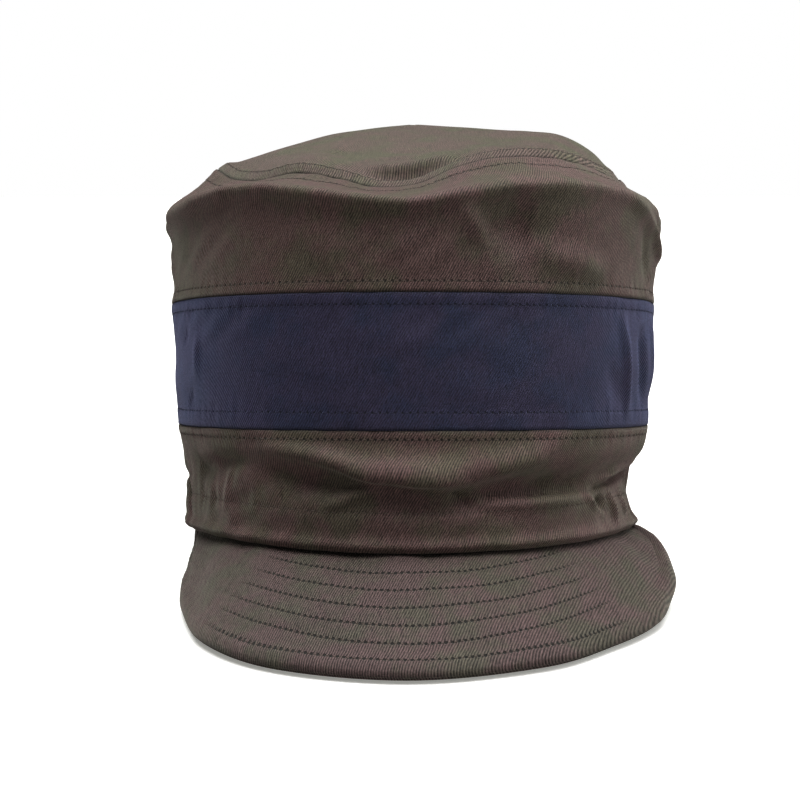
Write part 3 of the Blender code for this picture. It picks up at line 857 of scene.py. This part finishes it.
# A ring of cloth as a piece, with stitches along each of its rows of holes
def addRing(name, ring, node, look, holes, thread):
    mesh = clothMesh(name, ring["grid"], True, ring["maps"])
    addPiece(name, mesh, twill(name + " twill", look, holes), [node], sewing["wall"])
    for distance, count, _, fromLow, _ in holes:
        field = ring["rise"] if fromLow else -ring["fromTop"]
        at = distance if fromLow else -distance
        sewRing(ring["grid"], ring["facing"], field, at, ring["share"], count, thread)
    print(name, "sewn, round", round(ring["round"] * 1000), "mm")


# Lower side cloth: casing at the rim with its row of stitches, and gathers
lowerCloth = {
    "rows": 52,
    "hemAt": 0.0135, "hemStitches": 240, "hemWidth": 0.0010,
    "seamAt": 0.0030, "seamStitches": 250,
    "settled": 22.0, "lifted": 45.0,  # where the rim rests and is free again, in degrees from the back
    "knee": 0.084,  # level under which the cloth drops straight to the floor
    "ruffle": 0.0007, "ruffleReach": 0.011, "ruffleFrom": 0.003,
    "puff": 0.0008,  # fullness of the casing
    "lip": 0.0020, "lipAt": 0.0022,  # how far the rim's edge stands out, and how far up
    "rimRoll": 0.0005, "uneven": 0.0004,
}


# The rim's back stands on the floor: below the knee the cloth drops straight down
def settleBack(grid, turns, levels):
    knee = crown(turns, np.full((1, len(turns)), lowerCloth["knee"]))[0]
    foot = knee - overFloor(knee)[:, None] * floorUp
    drop = np.clip(levels / lowerCloth["knee"], 0, 1)[..., None]
    fromBack = 180 - np.abs((turns + 180) % 360 - 180)
    span = lowerCloth["lifted"] - lowerCloth["settled"]
    resting = np.clip((lowerCloth["lifted"] - fromBack) / span, 0, 1)[None, :, None]
    straight = foot + (knee - foot) * drop
    return np.where(levels[..., None] < lowerCloth["knee"], grid + (straight - grid) * resting, grid)


def lowerRelief(turns, levels, rise, fromTop, share):
    hem = lowerCloth["hemAt"]
    cloth = seamRelief(fromTop, lowerCloth["seamAt"], share, 11)
    ditch = hump(sewing["ditch"], rise - hem, lowerCloth["hemWidth"])
    puff = lowerCloth["puff"] * np.clip(rise / hem * (1 - rise / hem) * 4, 0, 1)
    lip = hump(lowerCloth["lip"], rise - lowerCloth["lipAt"], lowerCloth["lipAt"])
    strength = np.clip(roundTable(gathers, 1, turns), 0.06, 1)
    ruffle = lowerCloth["ruffle"] * strength * waver(share + rise * 0.25, (47, 61, 73, 89), 17)
    ruffle = hump(ruffle, rise - hem, lowerCloth["ruffleReach"])
    ruffle = ruffle * np.clip(rise / lowerCloth["ruffleFrom"], 0, 1)
    roll = rollBack(rise, lowerCloth["rimRoll"])
    return cloth - ditch + puff + lip + ruffle - roll + clothWaver(share, rise, 3, lowerCloth["uneven"])


lowerHoles = [
    (lowerCloth["hemAt"], lowerCloth["hemStitches"], sewing["stitch"], True, 0.25),
    (lowerCloth["seamAt"], lowerCloth["seamStitches"], sewing["stitch"], False, 0.8),
]
lowerRing = ringCloth(0, 1, lowerCloth["rows"], lowerRelief, settleBack)
addRing("lowerSidePanel", lowerRing, "lower_side_panel", oliveLook, lowerHoles, "olive")

# Navy band with a row of stitches beside each of its seams
bandCloth = {
    "rows": 48, "lowAt": 0.0060, "lowStitches": 252, "highAt": 0.0040, "highStitches": 256,
    "uneven": 0.0003,
}


def bandRelief(turns, levels, rise, fromTop, share):
    low = seamRelief(rise, bandCloth["lowAt"], share, 23)
    high = seamRelief(fromTop, bandCloth["highAt"], share, 29)
    return low + high + clothWaver(share, rise, 7, bandCloth["uneven"])


bandHoles = [
    (bandCloth["lowAt"], bandCloth["lowStitches"], sewing["stitch"], True, 0.7),
    (bandCloth["highAt"], bandCloth["highStitches"], sewing["stitch"], False, 0.7),
]
bandRing = ringCloth(1, 2, bandCloth["rows"], bandRelief)
addRing("navyBand", bandRing, "band_panel", navyLook, bandHoles, "navy")

# Upper side cloth, over the shoulder to the top seam
upperCloth = {
    "rows": 68, "lowAt": 0.0037, "lowStitches": 256, "highAt": 0.0062, "highStitches": 222,
    "highAllowance": 1.3, "uneven": 0.0004,
}


def upperRelief(turns, levels, rise, fromTop, share):
    low = seamRelief(rise, upperCloth["lowAt"], share, 31)
    high = seamRelief(fromTop, upperCloth["highAt"], share, 37, upperCloth["highAllowance"])
    return low + high + clothWaver(share, rise, 9, upperCloth["uneven"])


upperHoles = [
    (upperCloth["lowAt"], upperCloth["lowStitches"], sewing["stitch"], True, 0.7),
    (upperCloth["highAt"], upperCloth["highStitches"], sewing["stitch"], False, 0.85),
]
upperRing = ringCloth(2, 3, upperCloth["rows"], upperRelief)
addRing("upperSidePanel", upperRing, "upper_side_panel", oliveLook, upperHoles, "olive")

# Top cloth: an oval disc with a raised welt beside its seam, sewn 4 mm inside it
topCloth = {
    "columns": 480, "rows": 56, "innerLevel": 3.975,
    "sewnAt": 0.0042, "stitches": 218, "uneven": 0.0005,
    "piping": 0.0023, "pipingAt": 0.0046, "pipingWidth": 0.0025,  # its height, place and half width
    "pipingBehind": 0.3,  # share of its height that it has behind
}


def addTop():
    turns = -180 + np.arange(topCloth["columns"]) * 360 / topCloth["columns"]
    levels = spacedLevels(turns, 3, topCloth["innerLevel"], topCloth["rows"], False)
    base = crown(turns, levels)
    facing = outwards(base, True)
    rise = climb(base)
    middle = goRound(base)[0]
    share = middle / middle[-1]
    x, y = base[..., 0], base[..., 1]
    uneven = topCloth["uneven"] * np.cos(x * 120 + 1.1 * np.cos(y * 90)) * np.cos(y * 140)
    uneven = uneven * np.clip((levels - 3) * 3, 0, 1) * np.clip((4 - levels) * 2, 0, 1)
    inFront = np.clip(np.cos(np.radians(turns)) * 1.5 - 0.2, 0, 1)
    inFront = topCloth["pipingBehind"] + (1 - topCloth["pipingBehind"]) * inFront
    piping = hump(topCloth["piping"] * inFront, rise - topCloth["pipingAt"], topCloth["pipingWidth"])
    push = seamRelief(rise, topCloth["sewnAt"], share[:-1], 41, 1.0, 2.0) + piping + uneven
    push = push + creasePush(turns, levels)
    grid = base + facing * push[..., None]
    shareAll = np.broadcast_to(share, (len(grid), len(share)))
    peak = grid[-1].mean(axis=0)
    maps = {
        "weave": joined(grid)[..., :2],
        "sewing": np.stack([shareAll, joined(rise)], axis=-1),
    }
    pole = {"point": peak, "weave": peak[:2], "sewing": (0.5, rise[-1].max())}
    mesh = clothMesh("topPanel", grid, True, maps, pole)
    holes = [(topCloth["sewnAt"], topCloth["stitches"], sewing["stitch"], False, 0.85)]
    topTwill = twill("topPanel twill", topLitLook, holes)
    addPiece("topPanel", mesh, topTwill, ["top_panel"], sewing["wall"])
    normal = outwards(grid, True)
    sewRing(grid, normal, rise, topCloth["sewnAt"], share, topCloth["stitches"], "olive")


# the top cloth: the olive made a little lighter and greener, as painted light on the top
topLitLook = dict(oliveLook, warm=(0.116, 0.084, 0.073, 1), cool=(0.098, 0.092, 0.062, 1))
addTop()
print("top cloth sewn")

# Visor: two cloths over a filling, joined in a rolled outer edge and sewn in rows along it
visorCloth = {
    "columns": 380, "rows": 66, "rollRows": 8,
    "crowding": 0.8,  # how much closer the columns stand at both ends of the seam
    "thickness": 0.0035,  # of both cloths and the filling
    "tucked": 0.07,  # share of the visor's depth that goes in under the rim
    "first": 0.0058, "pitch": 0.0077, "sewnRows": 6, "stitch": 0.0021,
    "rowBow": 3.0, "seenFrom": 9.5,  # the rows' parabola, and the slope in degrees that shows it
    "rowEnd": 0.070, "endStep": 0.0038,  # sideways reach of the outermost row, and what each next lacks
    "puff": 0.00014, "puffWidth": 0.0021,  # padding between the rows
    "ditch": 0.00012, "ditchWidth": 0.0006,
    "edgePuff": 0.0010, "edgeAt": 0.0045, "edgeWidth": 0.0030,  # fuller outer edge
    "rightPuff": 0.9, "rightDitch": 0.0009, "rightAt": 0.0100, "rightWidth": 0.0020,
    "pucker": 0.00010, "puckerReach": 0.0028, "uneven": 0.00025,
    "pinch": 0.22,  # how far the outer edge is drawn in where the cloths join
    "length": 0.3,  # of the outer edge, about, for the wavering along it
    "longestStep": 0.004,  # along a row of stitches, from one column to the next
    "warpSlope": 1.06,  # length along the sloping cloth for one seen from above
}


# Upper face: straight from the seam to the outer edge, bowed up between, as the solid's
def visorFace(sweeps, shares):
    turns = cap["visorSweep"] * sweeps
    seam = crown(turns, np.zeros((1, len(turns))))[0]
    seam[:, :2] *= 1 - cap["wall"] / np.linalg.norm(seam[:, :2], axis=1, keepdims=True)
    seam[:, 2] -= cap["seamGap"]
    end = crown(np.array([cap["visorSweep"]]), np.zeros((1, 1)))[0, 0]
    side, ahead, lift = (
        smoothThrough(visorEdge[:, 0], visorEdge[:, [column]], sweeps[:, None])[:, 0]
        for column in (1, 2, 3)
    )
    edgeY = end[1] + ahead * (tipY - end[1])
    front = crown(np.array([0.0]), np.zeros((1, 1)))[0, 0]
    slope = math.atan2(overFloor(front), cap["visorReach"] / math.cos(lean))
    edgeZ = (1 - lift) * (floorAt(edgeY) + visorCloth["thickness"] * math.cos(slope))
    edge = np.stack([side * end[0], edgeY, edgeZ], axis=1)
    grid = seam + (edge - seam) * shares[..., None]
    grid[..., 2] += 4 * cap["visorCrown"] * shares * (1 - shares) * np.cos(math.pi / 2 * sweeps) ** 0.5
    return grid


# A point's reach from the outer edge, as the rows of stitches count it: at the edge its distance
# to it, and further in its distance from what looks like a parabola through the tip from in front
def edgeReach(grid, edge):
    points = grid.reshape(-1, 3)
    steps = points[:, None] - edge[None]
    nearest = np.sqrt((steps**2).sum(axis=2).min(axis=1))
    looking = math.radians(visorCloth["seenFrom"])
    tip = edge[edge[:, 1].argmin()]
    across, back, up = (points - tip).T
    ahead = back * math.sin(looking) + up * math.cos(looking) - visorCloth["rowBow"] * across**2
    ahead = ahead / math.sin(looking + math.atan2(cap["visorDrop"], cap["visorReach"]))
    share = np.clip((nearest - 0.005) / 0.006, 0, 1)
    share = share * share * (3 - 2 * share)
    return (nearest * (1 - share) + np.maximum(ahead, 0.005) * share).reshape(grid.shape[:2])


# For each column, its place in metres along the row of stitches that is nearest to each point:
# the lengths between columns added up from the middle column
def sewnPlaces(top, reach):
    lane = np.round((reach - visorCloth["first"]) / visorCloth["pitch"])
    lane = np.clip(lane, 0, visorCloth["sewnRows"] - 1)
    places = []
    for row in range(visorCloth["sewnRows"]):
        line, _ = lineOn(top, top, -reach, -(visorCloth["first"] + row * visorCloth["pitch"]))
        steps = np.concatenate([[0], np.linalg.norm(np.diff(line, axis=0), axis=1)])
        along = np.cumsum(np.minimum(steps, visorCloth["longestStep"]))
        places.append(along - along[len(along) // 2])
    places = np.array(places)
    return np.take_along_axis(places, lane.astype(int), axis=0), places


# Relief of the sewn visor: padded channels between the rows, ditches on them, a fuller edge
def visorRelief(distance, place):
    lane = (distance - visorCloth["first"]) / visorCloth["pitch"]
    nearest = np.clip(np.round(lane), 0, visorCloth["sewnRows"] - 1)
    aside = (lane - nearest) * visorCloth["pitch"]
    share = place / visorCloth["length"]
    between = visorCloth["puff"] * (1 - hump(1, aside, visorCloth["puffWidth"]))
    ditch = hump(visorCloth["ditch"], aside, visorCloth["ditchWidth"])
    rightSide = np.clip(share * 2.5 - 1.5, 0, 1)
    edgePuff = visorCloth["edgePuff"] * (1 + visorCloth["rightPuff"] * rightSide)
    fuller = hump(edgePuff, distance - visorCloth["edgeAt"], visorCloth["edgeWidth"])
    hollow = visorCloth["rightDitch"] * rightSide
    hollow = hump(hollow, distance - visorCloth["rightAt"], visorCloth["rightWidth"])
    puckers = hump(visorCloth["pucker"], aside, visorCloth["puckerReach"])
    puckers = puckers * waver(share, (53, 71, 89, 113, 127), 51)
    uneven = visorCloth["uneven"] * waver(share + distance * 2, (5, 9, 13), 53)
    return between - ditch - hollow + fuller + puckers + uneven


def addVisor():
    crowding = visorCloth["crowding"]
    angles = np.linspace(-math.pi / 2, math.pi / 2, visorCloth["columns"] + 1)
    sweeps = np.sin(crowding * angles) / math.sin(crowding * math.pi / 2)
    columns = len(sweeps)
    edge = visorFace(sweeps, np.ones((1, 1)))[0]
    width = np.linalg.norm(edge - visorFace(sweeps, np.zeros((1, 1)))[0], axis=1)
    half = visorCloth["thickness"] / 2 * np.clip(width / 0.006, 0.15, 1)
    lastShare = 1 - np.minimum(half / np.maximum(width, 1e-6), 0.6)
    shares = np.linspace(0, 1, visorCloth["rows"] + 1)[:, None]
    shares = -visorCloth["tucked"] + (lastShare + visorCloth["tucked"]) * shares
    upper = visorFace(sweeps, shares)
    facing = -outwards(upper, False)
    under = upper - facing * 2 * half[None, :, None]
    under = under - np.minimum(overFloor(under), 0)[..., None] * floorUp
    outward = unit(np.cross(unit(np.gradient(edge, axis=0)), facing[-1]))
    middle = (upper[-1] + under[-1]) / 2
    rise = (upper[-1] - under[-1]) / 2

    # the rolled edge: middle + outward * half * sin + rise * cos, pinched where the cloths join
    turn = np.linspace(0, math.pi / 2, visorCloth["rollRows"] + 1)[1:, None, None]
    pinched = hump(visorCloth["pinch"], math.pi / 2 - turn, 0.3)
    out = outward * half[:, None] * (np.sin(turn) - pinched)
    top = np.concatenate([upper, middle + out + rise * np.cos(turn)])
    bottom = np.concatenate([under, middle + out - rise * np.cos(turn)])

    reach = edgeReach(top, edge)
    place, places = sewnPlaces(top, reach)
    lift = visorRelief(reach, np.arange(columns) / columns * visorCloth["length"])
    fade = np.concatenate([np.ones(len(upper)), np.cos(turn[:, 0, 0]) ** 2])[:, None]
    fade = fade * np.clip(width / 0.012, 0, 1)
    topFacing = np.concatenate([facing, unit(out + rise * np.cos(turn))])
    top = top + topFacing * (lift * fade)[..., None]
    warp = np.array([1, visorCloth["warpSlope"]])
    maps = {"weave": top[..., :2] * warp, "sewing": np.stack([place, reach], axis=-1)}
    material = twill("visor olive twill", visorShadedLook, [], {
        "first": visorCloth["first"], "pitch": visorCloth["pitch"],
        "rows": visorCloth["sewnRows"], "stitch": visorCloth["stitch"],
        "end": visorCloth["rowEnd"], "endStep": visorCloth["endStep"],
    })
    mesh = clothMesh("visorTop", top[::-1], False, {title: field[::-1] for title, field in maps.items()})
    addPiece("visorTop", mesh, material, ["visor_top_cloth"], sewing["wall"])

    lower = bottom[:, ::3]
    maps = {"weave": lower[..., :2] * warp, "sewing": maps["sewing"][:, ::3]}
    mesh = clothMesh("visorUnder", lower, False, maps)
    addPiece("visorUnder", mesh, material, ["visor_under_cloth"], sewing["wall"])

    facingTop = outwards(top[::-1], False)[::-1]
    for row in range(visorCloth["sewnRows"]):
        at = visorCloth["first"] + row * visorCloth["pitch"]
        end = visorCloth["rowEnd"] - visorCloth["endStep"] * row
        sewnHere = (reach[0] > at + 0.003) & (np.abs(lineOn(top, top, -reach, -at)[0][:, 0]) < end)
        line, normal = lineOn(top[:, sewnHere], facingTop[:, sewnHere], -reach[:, sewnHere], -at)
        phase = places[row, sewnHere] / visorCloth["stitch"]
        first = math.ceil(phase[0])
        tubeSets["olive"].append(stitchTubes(line, normal, phase, first, int(phase[-1]) - first))


# the visor's cloth: the olive made darker, as painted shade, with steeper ribs, bigger needle holes and no
# painted shade at its outer edge
visorShadedLook = dict(
    oliveLook, warm=(0.096, 0.065, 0.063, 1), cool=(0.076, 0.068, 0.052, 1), ribAngle=68,
    holeRadius=0.00070, paintedEdgeShade=0.0,
)
addVisor()
print("visor sewn")

for colour, look in (("olive", oliveThread), ("navy", navyThread)):
    tubes = np.concatenate(tubeSets[colour])
    mesh = stitchMesh(colour + "Stitching", tubes)
    addPiece(colour + "Stitching", mesh, threadMaterial(colour + " thread", look))
    print(colour, "stitches:", len(tubes))

# Studio: a white floor, a wide soft light overhead, and a room that is dim towards the front
studio = {
    "floorColour": (0.88, 0.88, 0.87, 1),
    "floorBounce": (0.36, 0.35, 0.34, 1),  # the floor as the cloth above it sees it
    "floorGlow": (0.36, 0.36, 0.34, 1),  # keeps the shadows on the floor pale for the camera
    "roomBack": 0.20, "roomFront": 0.04,  # brightness of the room behind and in front of the cap
    "leftShade": 0.6,  # how much dimmer the room is at the left, as a share of front against back
    "overhead": 4.9, "side": 0.95, "softness": 60,  # strengths, and how wide the lights are in degrees
    "camera": (-0.00585, -0.5692, 0.1545), "pitch": 8.71, "lens": 67.5,
    "exposure": 0.0, "gamma": 0.81,
}


def addFloor():
    bpy.ops.mesh.primitive_plane_add(size=16, location=(0, 0, -0.0002))
    floor = bpy.context.object
    floor.name = "floor"
    paint = bpy.data.materials.new("pale floor")
    recipe = Recipe(paint)
    seen = recipe.flow(recipe.add("LightPath"), 0)
    colour = recipe.blend(seen, studio["floorBounce"], studio["floorColour"])
    glow = recipe.blend(seen, (0, 0, 0, 1), studio["floorGlow"])
    recipe.feed(recipe.shader.inputs["Base Color"], colour)
    recipe.feed(recipe.shader.inputs["Emission Color"], glow)
    recipe.shader.inputs["Emission Strength"].default_value = 1.0
    recipe.shader.inputs["Roughness"].default_value = 0.9
    recipe.shader.inputs["Specular IOR Level"].default_value = 0.1
    floor.data.materials.append(paint)


def addSun(name, turned, strength, softness):
    light = bpy.data.lights.new(name, "SUN")
    light.energy = strength
    light.angle = math.radians(softness)
    lamp = bpy.data.objects.new(name, light)
    bpy.context.scene.collection.objects.link(lamp)
    lamp.rotation_euler = [math.radians(angle) for angle in turned]


# The room's light grows from the front to the back and from left to right, and the camera sees
# plain white behind the floor
def addRoom():
    world = bpy.data.worlds.new("soft white room")
    bpy.context.scene.world = world
    recipe = Recipe(world)
    recipe.tree.nodes.clear()
    way = recipe.add("SeparateXYZ", None, {0: recipe.flow(recipe.add("TexCoord"), 0)})
    depth = recipe.flow(way, 1) + recipe.flow(way, 0) * studio["leftShade"]
    span = {"Value": depth, "From Min": -0.75, "From Max": 0.6}
    span.update({"To Min": studio["roomFront"], "To Max": studio["roomBack"]})
    strength = recipe.flow(recipe.add("MapRange", None, span))
    room = recipe.flow(recipe.add("Background", None, {"Color": (1, 1, 1, 1), "Strength": strength}))
    white = recipe.flow(recipe.add("Background", None, {"Color": (1, 1, 1, 1), "Strength": 1.0}))
    seen = recipe.flow(recipe.add("LightPath"), 0)
    mixed = recipe.flow(recipe.add("MixShader", None, {0: seen, 1: room, 2: white}))
    recipe.add("OutputWorld", None, {"Surface": mixed})


def addCamera():
    lens = bpy.data.cameras.new("camera")
    lens.lens = studio["lens"]
    lens.sensor_width = 36
    lens.clip_start = 0.01
    camera = bpy.data.objects.new("camera", lens)
    bpy.context.scene.collection.objects.link(camera)
    camera.location = studio["camera"]
    camera.rotation_euler = (math.radians(90 - studio["pitch"]), 0, 0)
    bpy.context.scene.camera = camera


addFloor()
addRoom()
addSun("overhead", (7, 0, 0), studio["overhead"], studio["softness"])
addSun("side", (12, 66, 0), studio["side"], studio["softness"])
addCamera()
look = bpy.context.scene.view_settings
look.view_transform = "Standard"
look.exposure = studio["exposure"]
look.gamma = studio["gamma"]
print("studio ready")
